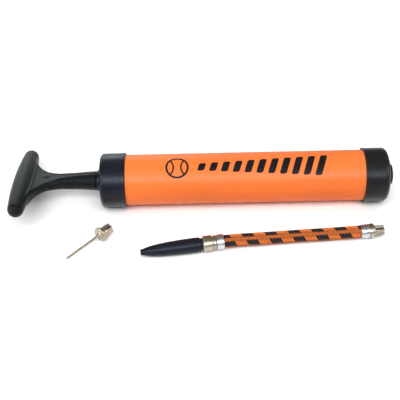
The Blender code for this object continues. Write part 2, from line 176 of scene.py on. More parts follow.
class BALLPUMP_PG_colours(bpy.types.PropertyGroup):
    barrel: colour_property("Barrel", "Orange of the barrel", (0.8, 0.165, 0.032))
    black: colour_property("Collar", "Black of the front collar and the nozzle", (0.0055, 0.0065, 0.0105))
    outlet: colour_property("Outlet", "Black of the end cap and its boss", (0.007, 0.007, 0.0072))
    handle: colour_property("Handle", "Black of the handle", (0.004, 0.0048, 0.0055))
    nickel: colour_property("Nickel", "Plated brass", (0.47, 0.41, 0.32))
    silver: colour_property("Silver", "Ferrules", (0.62, 0.64, 0.65))
    yarn: colour_property("Yarn", "Orange of the braid", (0.64, 0.15, 0.018))
    tracer: colour_property("Tracer", "Black of the braid", (0.006, 0.0055, 0.006))


def sizes():
    return bpy.context.scene.ballpump_sizes


def colours():
    return bpy.context.scene.ballpump_colours


# ---- materials
class Nodes:
    """A small helper for wiring a material's nodes."""

    def __init__(self, name):
        self.material = bpy.data.materials.new(name)
        self.material.use_nodes = True
        self.tree = self.material.node_tree
        self.shader = self.tree.nodes["Principled BSDF"]
        self.coords = self.tree.nodes.new("ShaderNodeTexCoord").outputs["Object"]

    def add(self, kind, **settings):
        node = self.tree.nodes.new(kind)
        for key, value in settings.items():
            setattr(node, key, value)
        return node

    def link(self, source, target):
        self.tree.links.new(source, target)

    def noise(self, scale, detail=3.0, roughness=0.5, stretch=None):
        node = self.add("ShaderNodeTexNoise")
        node.inputs["Scale"].default_value = scale
        node.inputs["Detail"].default_value = detail
        node.inputs["Roughness"].default_value = roughness
        source = self.coords
        if stretch:
            mapping = self.add("ShaderNodeMapping")
            mapping.inputs["Scale"].default_value = stretch
            self.link(self.coords, mapping.inputs["Vector"])
            source = mapping.outputs["Vector"]
        self.link(source, node.inputs["Vector"])
        return node.outputs["Fac"]

    def spread(self, source, low, high, start=0.3, end=0.7):
        node = self.add("ShaderNodeMapRange")
        node.inputs["From Min"].default_value = start
        node.inputs["From Max"].default_value = end
        node.inputs["To Min"].default_value = low
        node.inputs["To Max"].default_value = high
        self.link(source, node.inputs["Value"])
        return node.outputs["Result"]

    def set(self, socket, value):
        """Give one of the shader's sockets a constant."""
        self.shader.inputs[socket].default_value = value

    def rough(self, source, *span):
        """Let a texture drive the roughness."""
        self.link(self.spread(source, *span), self.shader.inputs["Roughness"])

    def shades(self, source, colour, dark, light, start=0.3, end=0.7):
        """Colour that wanders between darker and lighter shades of itself."""
        ramp = self.add("ShaderNodeValToRGB")
        ramp.color_ramp.elements[0].position = start
        ramp.color_ramp.elements[1].position = end
        ramp.color_ramp.elements[0].color = (*[c * dark for c in colour], 1)
        ramp.color_ramp.elements[1].color = (*[min(1.0, c * light) for c in colour], 1)
        self.link(source, ramp.inputs["Fac"])
        self.link(ramp.outputs["Color"], self.shader.inputs["Base Color"])

    def paint_gap_shade(self, attribute, low, high, darkest, lightest):
        """Painted shade: multiply the base colour by a stored height, from darkest at low to lightest at
        high.
        """
        stored = self.add("ShaderNodeAttribute", attribute_name=attribute)
        shade = self.spread(stored.outputs["Fac"], darkest, lightest, low, high)
        scale = self.add("ShaderNodeVectorMath", operation="SCALE")
        self.link(self.shader.inputs["Base Color"].links[0].from_socket, scale.inputs[0])
        self.link(shade, scale.inputs["Scale"])
        self.link(scale.outputs["Vector"], self.shader.inputs["Base Color"])

    def bump(self, source, distance, strength=1.0, after=None):
        node = self.add("ShaderNodeBump")
        node.inputs["Strength"].default_value = strength
        node.inputs["Distance"].default_value = distance
        self.link(source, node.inputs["Height"])
        if after:
            self.link(after, node.inputs["Normal"])
        self.link(node.outputs["Normal"], self.shader.inputs["Normal"])
        return node.outputs["Normal"]


def barrel_plastic():
    """Glossy moulded polypropylene with faint flow streaks and handling marks."""
    made = Nodes("barrel_plastic")
    flow = made.noise(55, 4, 0.55, stretch=(0.25, 1, 1))
    made.shades(flow, colours().barrel, 0.93, 1.05)
    scuffs = made.noise(700, 5, 0.7, stretch=(0.15, 1, 1))
    made.rough(scuffs, 0.34, 0.48)
    made.set("Specular IOR Level", 0.15)
    made.set("Subsurface Weight", 0.05)
    made.set("Subsurface Scale", 0.001)
    soft = made.bump(made.noise(90, 2), 0.00012, 0.25)
    made.bump(made.noise(1900, 3), 0.00002, 0.35, after=soft)
    return made.material


def print_ink():
    """Screen-printed ink: slightly glossy, with pinholes and a soft edge of wear."""
    made = Nodes("print_ink")
    speckle = made.noise(2600, 5, 0.7)
    made.shades(speckle, (0.006, 0.0055, 0.006), 0.7, 2.0, 0.35, 0.75)
    made.rough(made.noise(420, 4), 0.35, 0.55)
    made.set("Specular IOR Level", 0.12)
    made.bump(speckle, 0.00002, 0.4)
    return made.material


def black_plastic(name, colour, grain=1500, depth=0.00003, rough=(0.3, 0.44)):
    """Satin moulded black plastic with a fine grain and light rub marks."""
    made = Nodes(name)
    made.shades(made.noise(140, 4, 0.6), colour, 0.8, 1.5)
    made.rough(made.noise(480, 4, 0.65), *rough)
    made.set("Specular Tint", (0.3, 0.31, 0.34, 1))
    soft = made.bump(made.noise(260, 2), 0.00008, 0.25)
    made.bump(made.noise(grain, 3, 0.6), depth, 0.6, after=soft)
    return made.material


def handle_grain():
    """Spark-textured black plastic, greyer where light rakes over the grain."""
    made = Nodes("handle_grain")
    made.shades(made.noise(900, 5, 0.7), colours().handle, 0.7, 1.9)
    made.rough(made.noise(700, 4, 0.6), 0.32, 0.5)
    made.set("Specular Tint", (0.2, 0.21, 0.215, 1))
    made.set("Specular IOR Level", 0.36)
    coarse = made.bump(made.noise(800, 3, 0.7), 0.0004, 1.0)
    made.bump(made.noise(2400, 3, 0.6), 0.00005, 0.7, after=coarse)
    return made.material


def metal(name, colour, rough, tarnish=0.75, brush=(1, 1, 1), depth=0.00001):
    """Plated metal with a little tarnish, polishing lines and small dents."""
    made = Nodes(name)
    made.set("Metallic", 1.0)
    made.shades(made.noise(300, 5, 0.65), colour, tarnish, 1.05)
    lines = made.noise(1500, 4, 0.7, stretch=brush)
    made.rough(lines, *rough)
    dents = made.bump(made.noise(420, 3), 0.00004, 0.3)
    made.bump(lines, depth, 0.5, after=dents)
    return made.material


def rubber():
    made = Nodes("soft_rubber")
    made.shades(made.noise(900, 4, 0.6), (0.014, 0.014, 0.015), 0.7, 1.8)
    made.rough(made.noise(600, 3), 0.6, 0.85)
    made.bump(made.noise(1800, 3), 0.00004, 0.5)
    return made.material


def acetal():
    """Natural white bearing plastic of the piston and the valve's seat."""
    made = Nodes("acetal")
    made.shades(made.noise(240, 4), (0.74, 0.72, 0.66), 0.92, 1.06)
    made.rough(made.noise(800, 3), 0.35, 0.55)
    made.set("Subsurface Weight", 0.15)
    made.set("Subsurface Scale", 0.001)
    made.bump(made.noise(1500, 3, stretch=(6, 1, 1)), 0.00002, 0.4)
    return made.material


def yarn(name, colour):
    """Spun polyester: fine fibres along the yarn, dusty sheen, small colour drift, and painted shade that
    darkens the gaps between the yarns and lightens their crowns.
    """
    made = Nodes(name)
    drift = made.noise(1100, 5, 0.75)
    made.shades(drift, colour, 0.62, 1.25, 0.25, 0.75)
    # Painted shade: the yarns darken towards the hose's centre line, so the gaps between them read dark
    # and the crowns lighter.
    made.paint_gap_shade("height", (HOSE_R - 0.95) * MM, (HOSE_R - 0.12) * MM, 0.05, 1.2)
    made.rough(drift, 0.55, 0.8)
    made.set("Specular IOR Level", 0.25)
    made.set("Sheen Weight", 0.1)
    made.set("Sheen Roughness", 0.4)
    fibres = made.noise(7000, 3, 0.7, stretch=(0.35, 1, 1))
    made.bump(fibres, 0.00006, 0.8)
    return made.material


def floor_card():
    """Pale seamless card with the faintest tooth."""
    made = Nodes("floor_card")
    made.shades(made.noise(40, 3), (0.93, 0.93, 0.93), 0.99, 1.01)
    made.rough(made.noise(300, 3), 0.85, 0.95)
    made.bump(made.noise(2500, 2), 0.00003, 0.2)
    return made.material


MAKERS = {
    "barrel_plastic": barrel_plastic,
    "print_ink": print_ink,
    "collar_plastic": lambda: black_plastic("collar_plastic", colours().black),
    "outlet_plastic": lambda: black_plastic("outlet_plastic", colours().outlet, 1300, 0.00004),
    "nozzle_plastic": lambda: black_plastic("nozzle_plastic", colours().black, 1100, 0.00004, (0.36, 0.5)),
    "handle_grain": handle_grain,
    "nickel": lambda: metal("nickel", colours().nickel, (0.26, 0.42), 0.72),
    "silver": lambda: metal("silver", colours().silver, (0.22, 0.38), 0.82),
    "polished_rod": lambda: metal("polished_rod", (0.62, 0.62, 0.63), (0.1, 0.22), 0.93, (0.05, 1, 1)),
    "spring_wire": lambda: metal("spring_wire", (0.5, 0.5, 0.5), (0.25, 0.4)),
    "soft_rubber": rubber,
    "acetal": acetal,
    "orange_yarn": lambda: yarn("orange_yarn", colours().yarn),
    "black_yarn": lambda: yarn("black_yarn", colours().tracer),
    "floor_card": floor_card,
}


FINISHES = {}


def material(name):
    """The finish of that name, made when it is first asked for."""
    if name not in FINISHES:
        FINISHES[name] = MAKERS[name]()
    return FINISHES[name]


# ---- modelling helpers
def arc(centre, radius, start, end, steps=8):
    """Points of an arc in the (station, radius) plane, angles in degrees from +X."""
    points = []
    for i in range(steps + 1):
        angle = radians(start + (end - start) * i / steps)
        points.append((centre[0] + radius * cos(angle), centre[1] + radius * sin(angle)))
    return points


def softened(outline, radius, ring=True, steps=3):
    """The outline with each corner rounded to about radius, as far as its sides allow."""
    made = []
    count = len(outline)
    for i, point in enumerate(outline):
        if not ring and i in (0, count - 1):
            made.append(point)
            continue
        here = Vector(point)
        back = Vector(outline[i - 1]) - here
        ahead = Vector(outline[(i + 1) % count]) - here
        reach = min(radius, 0.4 * back.length, 0.4 * ahead.length)
        turn = back.angle(-ahead) if back.length and ahead.length else 0.0
        if turn < radians(12) or reach < 1e-4:
            made.append(point)
            continue
        first = here + back.normalized() * reach
        last = here + ahead.normalized() * reach
        for k in range(steps + 1):
            t = k / steps
            made.append(tuple(first * (1 - t) ** 2 + here * 2 * t * (1 - t) + last * t ** 2))
    return made


def turned(outline, ring=True, sides=FINE_SIDES):
    """Spin a (station, radius) outline round local X.  An open one ends on the axis."""
    bm = bmesh.new()
    verts = [bm.verts.new((x, 0.0, r)) for x, r in outline]
    pairs = list(zip(verts, verts[1:]))
    if ring:
        pairs.append((verts[-1], verts[0]))
    edges = [bm.edges.new(pair) for pair in pairs]
    bmesh.ops.spin(bm, geom=verts + edges, cent=(0, 0, 0), axis=(1, 0, 0),
                   angle=2 * pi, steps=sides, use_merge=True)
    bmesh.ops.remove_doubles(bm, verts=bm.verts, dist=1e-4)
    return bm


def place(bm, matrix):
    """Millimetres in a local frame become metres in the world."""
    bmesh.ops.scale(bm, vec=(MM, MM, MM), verts=bm.verts)
    bmesh.ops.transform(bm, matrix=matrix, verts=bm.verts)
    bmesh.ops.recalc_face_normals(bm, faces=bm.faces)


def linked(name, data):
    """An object of that data, in the scene."""
    obj = bpy.data.objects.new(name, data)
    bpy.context.scene.collection.objects.link(obj)
    return obj


def mesh_object(name, bm):
    """An object of the bmesh, which is freed."""
    mesh = bpy.data.meshes.new(name)
    bm.to_mesh(mesh)
    bm.free()
    return linked(name, mesh)


def new_piece(name, bm, matrix, finish, body, replaced=(), sharp=40):
    """Make an object of a bmesh, and say what it rides on and which solids it stands for."""
    place(bm, matrix)
    obj = mesh_object(name, bm)
    obj.data.shade_smooth()
    obj.data.set_sharp_from_angle(angle=radians(sharp))
    obj.data.materials.append(material(finish))
    declare(obj, body, replaced)


def declare(obj, body, replaced):
    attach(obj, body)
    if replaced:
        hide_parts(*replaced)


def fluted(bm, start, end):
    """Press the grooves of a male plug into a turned piece between two stations."""
    for vertex in bm.verts:
        x, y, z = vertex.co
        radius = sqrt(y * y + z * z)
        if not start <= x <= end or radius < 1.8:
            continue
        wave = 0.5 + 0.5 * cos(sizes().flutes * (atan2(z, y) + FLUTE_TURN))
        ease = min(1.0, (x - start) / 0.5)
        press = FLUTE_DEPTH * ease * wave ** 0.8
        vertex.co.y -= y / radius * press
        vertex.co.z -= z / radius * press


def with_stations(outline, step, low_radius):
    """Add points along an outline's long outer runs, so that the run can be shaped."""
    made = []
    for near, far in zip(outline, outline[1:] + outline[:1]):
        made.append(near)
        run = abs(far[0] - near[0])
        if min(near[1], far[1]) < low_radius or run < step:
            continue
        cuts = int(run / step)
        for i in range(1, cuts):
            t = i / cuts
            made.append((near[0] + (far[0] - near[0]) * t, near[1] + (far[1] - near[1]) * t))
    return made


# ---- the barrel and its print
def make_barrel():
    start, end = pump_station(BARREL_LOW.x), pump_station(BARREL_HIGH.x)
    bore = BARREL_R - WALL
    outline = softened([(start, bore), (start, BARREL_R), (end, BARREL_R), (end, bore)], 0.5)
    outline = with_stations(outline, 6.0, 1.0)
    new_piece("barrel_shell", turned(outline), PUMP, "barrel_plastic", "pump",
              ["barrel"], sharp=30)


def flat_bar(bm, left, right, low, high, lean):
    """A leaning bar with round corners, flat in the XY plane, in mm."""
    made = bmesh.ops.create_grid(bm, x_segments=1, y_segments=1, size=0.5)
    verts = made["verts"]
    width, height = right - left, high - low
    bmesh.ops.scale(bm, vec=(width, height, 1), verts=verts)
    bmesh.ops.translate(bm, vec=((left + right) / 2, (low + high) / 2, 0), verts=verts)
    for vertex in verts:
        vertex.co.x += lean * vertex.co.y
    bmesh.ops.bevel(bm, geom=verts, offset=0.28 * width, offset_type="OFFSET", segments=5,
                    profile=0.5, affect="VERTICES", material=-1)


def flat_ring(bm, centre, outer, inner, sides=64):
    """A flat ring: a filled circle, inset, with its middle taken out."""
    made = bmesh.ops.create_circle(bm, cap_ends=True, radius=outer, segments=sides)
    verts = made["verts"]
    bmesh.ops.translate(bm, vec=(*centre, 0), verts=verts)
    face = next(face for face in verts[0].link_faces if all(v in face.verts for v in verts))
    bmesh.ops.inset_individual(bm, faces=[face], thickness=outer - inner, use_even_offset=True)
    bmesh.ops.delete(bm, geom=[face], context="FACES")


def make_print():
    """A plain ball sign and a rising row of bars, screen-printed on the barrel."""
    bm = bmesh.new()
    ball = Vector((38.5, 0.0))
    radius = 8.6
    line = 1.5
    flat_ring(bm, ball, radius, radius - line)
    for side in (-1, 1):
        seam = bmesh.ops.create_circle(bm, cap_ends=True, radius=radius, segments=64)["verts"]
        seam_x = ball.x + side * radius * 1.25
        bmesh.ops.translate(bm, vec=(seam_x, ball.y, 0), verts=seam)
        face = next(f for f in seam[0].link_faces if all(v in f.verts for v in seam))
        bmesh.ops.inset_individual(bm, faces=[face], thickness=0.8 * line, use_even_offset=True)
        bmesh.ops.delete(bm, geom=[face], context="FACES")
        # The seam is the part of its ring that lies inside the ball.
        outside = [f for f in bm.faces
                   if abs(f.calc_center_median().x - seam_x) < radius * 1.1
                   and (f.calc_center_median().xy - ball).length > radius * 1.02]
        bmesh.ops.delete(bm, geom=outside, context="FACES")
    bars, first, pitch, width, lean = 11, 54.0, 8.8, 5.2, 0.32
    for i in range(bars):
        left = first + pitch * i
        half = 3.0 + 0.54 * i
        flat_bar(bm, left, left + width, -half, half, lean)
    wrap_on_barrel(bm)
    new_piece("barrel_print", bm, PUMP, "print_ink", "pump", sharp=30)


def wrap_on_barrel(bm):
    """Cut a flat print into narrow strips and lay it on the barrel's upper side."""
    middle = radians(70)
    step = 0.9
    for i in range(-12, 13):
        geom = bm.verts[:] + bm.edges[:] + bm.faces[:]
        bmesh.ops.bisect_plane(bm, geom=geom, plane_co=(0, i * step, 0), plane_no=(0, 1, 0))
    lift, thick = 0.012, 0.05
    solid = bmesh.ops.extrude_face_region(bm, geom=bm.faces[:])
    raised = {v for v in solid["geom"] if isinstance(v, bmesh.types.BMVert)}
    for vertex in bm.verts:
        angle = middle + vertex.co.y / BARREL_R
        radius = BARREL_R + lift + (thick if vertex in raised else 0.0)
        vertex.co = (vertex.co.x, -radius * cos(angle), radius * sin(angle))


# ---- caps
def make_collar():
    band = sizes().lip_band / MM
    face = pump_station(COLLAR_LOW.x)
    floor = face + COLLAR_DEPTH
    lip_r = (COLLAR_HIGH.z - COLLAR_LOW.z) / 2 / MM
    body_r = lip_r - 0.25
    corner = 3.0
    outline = [(face, CAP_HOLE_R), (face, body_r - corner - 2.6)]
    outline.append((face + 0.12, body_r - corner - 2.3))
    outline += arc((face + corner, body_r - corner), corner, 176, 90)
    outline += [(-band - 0.35, body_r), (-band - 0.25, body_r - 0.1), (-band - 0.05, body_r - 0.1)]
    outline += [(-band + 0.2, lip_r), (-0.5, lip_r), (0.0, lip_r - 0.5)]
    outline += [(0.0, BARREL_R + 0.45), (-0.5, BARREL_R + 0.15)]
    outline += [(floor, BARREL_R + 0.15), (floor, CAP_HOLE_R)]
    outline = with_stations(softened(outline, 0.25), 3.0, 19.0)
    new_piece("collar_shell", turned(outline), PUMP, "collar_plastic", "pump",
              ["front_collar"])


def make_guide_ring():
    """Neck ring: a rounded outer bead and a narrow step at the rod."""
    face = pump_station(RING_LOW.x)
    back = pump_station(COLLAR_LOW.x) - 0.05
    end = pump_station(RING_HIGH.x)
    outer = (RING_HIGH.z - RING_LOW.z) / 2 / MM
    bore = RING_BORE_R
    outline = [(face, bore), (face, outer - 1.35)]
    outline += arc((face + 1.1, outer - 1.25), 1.1, 175, 90, 8)
    outline += [(back - 0.7, outer - 0.15), (back - 0.55, outer - 0.4), (back - 0.3, outer - 0.4)]
    outline += [(back - 0.2, outer), (back, outer), (back, 6.5), (end, 6.5), (end, bore)]
    new_piece("neck_ring", turned(softened(outline, 0.15)), PUMP, "collar_plastic", "pump",
              ["rod_guide_ring"])


def make_end_cap():
    band = sizes().lip_band / MM
    lip, face = pump_station(CAP_LOW.x), pump_station(CAP_HIGH.x)
    floor = face - CAP_DEPTH
    lip_r = (CAP_HIGH.z - CAP_LOW.z) / 2 / MM
    body_r = lip_r - 0.2
    corner = 4.0
    outline = [(face, CAP_HOLE_R), (floor, CAP_HOLE_R)]
    outline += [(floor, BARREL_R + 0.35), (lip + 1.2, BARREL_R + 0.35)]
    outline += [(lip, BARREL_R + 0.75), (lip, lip_r - 0.3), (lip + 0.3, lip_r)]
    outline += [(lip + 1.2, lip_r - 0.04), (lip + band, body_r)]
    outline += arc((face - corner, body_r - corner), corner, 90, 6, 10)
    outline += [(face, body_r - corner - 1.2), (face, 11.2)]
    outline += [(face - 0.3, 10.9), (face - 0.3, 10.3), (face, 10.0)]
    outline = with_stations(softened(outline, 0.2), 3.0, 19.0)
    new_piece("outlet_cap_shell", turned(outline), PUMP, "outlet_plastic", "pump",
              ["end_cap"])


def make_outlet_boss():
    """Stepped boss with the socket; ridges inside stand for its thread."""
    start, face = pump_station(BOSS_LOW.x), pump_station(BOSS_HIGH.x)
    cap_face = pump_station(CAP_HIGH.x)
    step = cap_face + 2.2
    outer = (BOSS_HIGH.z - BOSS_LOW.z) / 2 / MM
    bore = SOCKET_BORE_R
    floor = face - SOCKET_DEPTH
    outline = [(start, bore), (start, 6.5), (cap_face + 0.02, 6.5), (cap_face + 0.02, outer)]
    outline += [(step - 0.5, outer), (step, outer - 0.5), (step, 7.9)]
    outline += arc((face - 0.9, 7.0), 0.9, 88, 0, 6)
    outline += [(face, 5.5), (face - 0.7, 4.75)]
    pitch = 1.0
    for i in range(7):
        x = face - 1.2 - pitch * i
        outline += [(x, bore), (x - 0.5 * pitch, bore + 0.35)]
    outline += [(floor, bore), (floor, 1.6), (floor - 1.9, 1.6), (floor - 1.9, bore)]
    new_piece("outlet_boss", turned(softened(outline, 0.15), sides=MEDIUM_SIDES), PUMP,
              "outlet_plastic", "pump", ["outlet_insert"])


# ---- handle and rod
# Sections of the shank and the web: station, half width, half thickness, corner radius.
SHANK_SECTIONS = [
    (-22.6, 7.2, 7.2, 7.15),
    (-29.5, 6.85, 6.85, 6.8),
    (-37.0, 6.35, 6.35, 6.3),
    (-44.0, 6.15, 5.7, 5.1),
    (-50.0, 6.3, 5.0, 4.3),
    (-55.0, 7.6, 4.4, 3.6),
    (-59.5, 9.2, 4.0, 3.1),
    (-63.0, 12.0, 3.9, 3.0),
    (-66.0, 15.2, 4.1, 3.1),
    (-68.6, 19.3, 4.4, 3.4),
    (-71.0, 25.5, 4.7, 3.8),
    (-73.0, 32.0, 4.9, 4.0),
    (-77.6, 36.0, 5.0, 4.2),
]
TEE_X = -77.6
TEE_REACH = 36.75
TEE_END_R = 5.85
TEE_MID_R = 7.75
TEE_TILT = 11.8             # degrees, front end of the tee raised
WEB_START_X = -70.0         # the sunk flat of the web and the shank
WEB_END_X = -28.0
WEB_HALF_THICKNESS = 4.7    # where the web meets the tee
DIMPLE_X = -60.2


def between(before, near, far, after, t):
    """Point at t between near and far, on the smooth curve through all four."""
    return 0.5 * (2 * near + (far - before) * t
                  + (2 * before - 5 * near + 4 * far - after) * t ** 2
                  + (3 * near - before - 3 * far + after) * t ** 3)


def spline_value(table, x, column):
    """Smooth value of a column at x, through the table's rows, which run towards -X."""
    rows = [table[0]] + table + [table[-1]]
    for i in range(1, len(rows) - 2):
        a, b = rows[i], rows[i + 1]
        if b[0] <= x <= a[0]:
            t = (a[0] - x) / (a[0] - b[0])
            return between(*(rows[i + k][column] for k in (-1, 0, 1, 2)), t)
    return table[-1][column]


def rounded_section(bm, x, half_width, half_height, corner, per_corner=10):
    """A closed loop of edges in the shape of a rounded rectangle, square to X."""
    verts = []
    for quarter in range(4):
        side_y = 1 if quarter in (0, 3) else -1
        side_z = 1 if quarter in (0, 1) else -1
        for i in range(per_corner):
            angle = radians(90 * quarter + 90 * i / (per_corner - 1))
            y = side_y * (half_width - corner) + corner * cos(angle)
            z = side_z * (half_height - corner) + corner * sin(angle)
            verts.append(bm.verts.new((x, y, z)))
    return [bm.edges.new((verts[i - 1], verts[i])) for i in range(len(verts))]


def shank_mesh():
    bm = bmesh.new()
    first, last = SHANK_SECTIONS[0][0], SHANK_SECTIONS[-1][0]
    steps = 44
    loops = []
    for i in range(steps + 1):
        x = first + (last - first) * i / steps
        width, height, corner = (spline_value(SHANK_SECTIONS, x, k) for k in (1, 2, 3))
        corner = min(corner, width - 0.02, height - 0.02)
        loops.append(rounded_section(bm, x, width, height, corner))
    for near, far in zip(loops, loops[1:]):
        bmesh.ops.bridge_loops(bm, edges=near + far)
    for loop in (loops[0], loops[-1]):
        bmesh.ops.contextual_create(bm, geom=loop)
    bmesh.ops.recalc_face_normals(bm, faces=bm.faces)
    return bm


def tee_mesh():
    """Spindle of the tee, swelling in the middle, with flattened round ends."""
    end = TEE_REACH
    outline = [(-end - TEE_END_R + 0.35, 0.0), (-end - TEE_END_R + 0.35, 1.9)]
    outline += arc((-end, 0.0), TEE_END_R, 158, 95, 10)
    steps = 40
    for i in range(steps + 1):
        along = -end + 2 * end * i / steps
        swell = (TEE_MID_R - TEE_END_R) * (1 - (along / end) ** 2)
        outline.append((along, TEE_END_R + swell))
    outline += arc((end, 0.0), TEE_END_R, 85, 22, 10)
    outline += [(end + TEE_END_R - 0.35, 1.9), (end + TEE_END_R - 0.35, 0.0)]
    bm = turned(outline, ring=False, sides=64)
    bmesh.ops.rotate(bm, cent=(0, 0, 0), matrix=Matrix.Rotation(pi / 2, 3, "Z"), verts=bm.verts)
    bmesh.ops.translate(bm, vec=(TEE_X, 0, 0), verts=bm.verts)
    bmesh.ops.recalc_face_normals(bm, faces=bm.faces)
    return bm


def discard(obj):
    mesh = obj.data
    bpy.data.objects.remove(obj, do_unlink=True)
    bpy.data.meshes.remove(mesh)


def applied(obj):
    """The object's mesh with its modifiers applied, as a bmesh; the object is removed."""
    graph = bpy.context.evaluated_depsgraph_get()
    bm = bmesh.new()
    bm.from_object(obj, graph)
    discard(obj)
    return bm


def blend_into(value, centre, width):
    """1 at the centre, easing to 0 at width."""
    return exp(-((value - centre) / width) ** 2)


def make_handle():
    """Tee and shank as one moulding, with filleted joins, a dimple and ringed ends."""
    shank = mesh_object("handle_shank", shank_mesh())
    tee = mesh_object("handle_tee", tee_mesh())
    union = shank.modifiers.new("Union", "BOOLEAN")
    union.operation = "UNION"
    union.solver = "EXACT"
    union.object = tee
    remesh = shank.modifiers.new("Skin", "REMESH")
    remesh.mode = "VOXEL"
    remesh.voxel_size = sizes().voxel / MM
    bm = applied(shank)
    discard(tee)
    for _ in range(3):
        bmesh.ops.smooth_vert(bm, verts=bm.verts, factor=0.5, use_axis_x=True,
                              use_axis_y=True, use_axis_z=True)
    press_handle_details(bm)
    tilt = Matrix.Rotation(radians(-TEE_TILT), 4, "X")
    new_piece("handle_moulding", bm, PUMP @ tilt, "handle_grain", "handle",
              ["t_handle"], sharp=60)


def press_handle_details(bm):
    bm.normal_update()
    for vertex in bm.verts:
        x, y, z = vertex.co
        press = 0.0
        if WEB_START_X < x < WEB_END_X and abs(vertex.normal.z) > 0.5:
            # The face of the web lies a little below its rounded rim.
            half_width, _, corner = (spline_value(SHANK_SECTIONS, x, k) for k in (1, 2, 3))
            inside = half_width - 0.72 * corner - abs(y)
            from_ends = min(x - WEB_START_X, WEB_END_X - x) / 1.2
            press += 0.5 * min(1.0, max(0.0, inside / 0.5)) * min(1.0, from_ends)
        if abs(vertex.normal.z) > 0.3 and abs(y) < TEE_REACH - 3.0 and x > TEE_X:
            # The crease where the web meets the round of the tee.
            tee_r = TEE_END_R + (TEE_MID_R - TEE_END_R) * (1 - (y / TEE_REACH) ** 2)
            crease = TEE_X + sqrt(tee_r ** 2 - WEB_HALF_THICKNESS ** 2) + 0.4
            press += 0.5 * blend_into(x, crease, 0.6)
        if abs(z) > 2.5:
            # The oval dimple in each flat of the web.
            press += 0.7 * blend_into(sqrt(((x - DIMPLE_X) / 1.5) ** 2 + y ** 2), 0.0, 1.35)
        reach = abs(y) - TEE_REACH
        if reach > 2.0:
            # A fine ring round the flat at each end of the tee.
            away = sqrt((x - TEE_X) ** 2 + z ** 2)
            press += 0.35 * blend_into(away, 3.0, 0.5)
        if press:
            vertex.co -= vertex.normal * press


def make_rod():
    start, end = pump_station(ROD_LOW.x), pump_station(ROD_HIGH.x)
    radius = (ROD_HIGH.z - ROD_LOW.z) / 2 / MM
    head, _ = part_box("piston_head")
    piston_start = pump_station(head.x) - GAP
    spigot = ROD_SPIGOT_R
    screw_r, screw_depth = 1.7, 12.0
    outline = [(start, 0.0), (start, spigot), (ROD_SHOULDER_X, spigot), (ROD_SHOULDER_X, radius)]
    outline += [(piston_start - 1.2, radius), (piston_start, radius - 0.5)]
    outline += [(piston_start, spigot), (end, spigot), (end, screw_r)]
    outline += [(end - screw_depth, screw_r), (end - screw_depth, 0.0)]
    outline = softened(outline, 0.2, ring=False)
    new_piece("rod_shaft", turned(outline, ring=False, sides=SMALL_SIDES), PUMP,
              "polished_rod", "handle", ["piston_rod"])


def make_piston():
    low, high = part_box("piston_head")
    start, end = pump_station(low.x), pump_station(high.x)
    middle = (start + end) / 2
    radius = (high.z - low.z) / 2 / MM
    groove = radius - 2.65
    half = 1.7                  # half width of the groove
    bore = 3.35
    dish = 1.2                  # depth of the dished faces
    cord_r = 1.25               # of the o-ring
    outline = [(start, bore), (start, 5.5), (start + dish, 6.5), (start + dish, radius - 2.0)]
    outline += [(start, radius - 1.2), (start, radius)]
    outline += [(middle - half, radius), (middle - half, groove)]
    outline += [(middle + half, groove), (middle + half, radius)]
    outline += [(end, radius), (end, radius - 1.2), (end - dish, radius - 2.0)]
    outline += [(end - dish, 6.8), (end, 6.2), (end, bore)]
    new_piece("piston_spool", turned(softened(outline, 0.25), sides=MEDIUM_SIDES), PUMP,
              "acetal", "piston", ["piston_head"])
    ring = arc((middle, groove + 0.15 + cord_r), cord_r, 360, 20, 17)
    new_piece("piston_seal", turned(ring, sides=MEDIUM_SIDES), PUMP, "soft_rubber", "piston",
              ["piston_o_ring"])


# ---- fittings of the hose
def socket_line():
    """Axis of the nozzle and the socket, from the nozzle's tip."""
    return node_line("nozzle", -joint_axis("nozzle_out"))[0]


def plug_line():
    """Axis of the plug's end of the hose, from the ferrule's mouth."""
    return node_line("ferrule_plug_end", mount_axis("plug_seat"))[0]


# Stations in mm from the nozzle's tip.
NOZZLE_LENGTH = 43.4
SOCKET_START = 45.3
SOCKET_END = 54.9
FERRULE_END = 60.6
BARB_R = 3.0
AIR_R = 1.2                 # air passage in the fittings


def nozzle_radius(station):
    """The cone swells quickly at its tip and then runs nearly straight."""
    return max(2.3, 5.49 * (1 - (1 - station / NOZZLE_LENGTH) ** 2.6) ** 0.414)


def make_nozzle():
    """Rubbery cone with a drilled tip, a narrow shoulder band and a screwed stub."""
    outline = [(0.25, 1.1), (0.0, 1.35), (0.05, 1.75), (0.3, 2.15)]
    for i in range(1, 34):
        station = 0.35 + (NOZZLE_LENGTH - 3.2) * (i / 33) ** 1.3
        outline.append((station, nozzle_radius(station)))
    shoulder = NOZZLE_LENGTH - 2.4
    outline += [(shoulder, 5.42), (shoulder + 0.15, 5.25)]
    outline += [(shoulder + 0.4, 5.25), (shoulder + 0.55, 5.42)]
    outline += [(NOZZLE_LENGTH - 0.3, 5.4), (NOZZLE_LENGTH, 5.1), (NOZZLE_LENGTH, 4.5)]
    outline += [(SOCKET_START - GAP, 4.5), (SOCKET_START - GAP, 3.7)]
    for i in range(4):
        x = SOCKET_START + i
        outline += [(x, 3.7), (x + 0.5, 3.35)]
    outline += [(SOCKET_START + 4.5, 3.6), (SOCKET_START + 4.5, 1.1)]
    new_piece("cone_nozzle", turned(outline, sides=MEDIUM_SIDES), socket_line(),
              "nozzle_plastic", "nozzle", ["nozzle"])


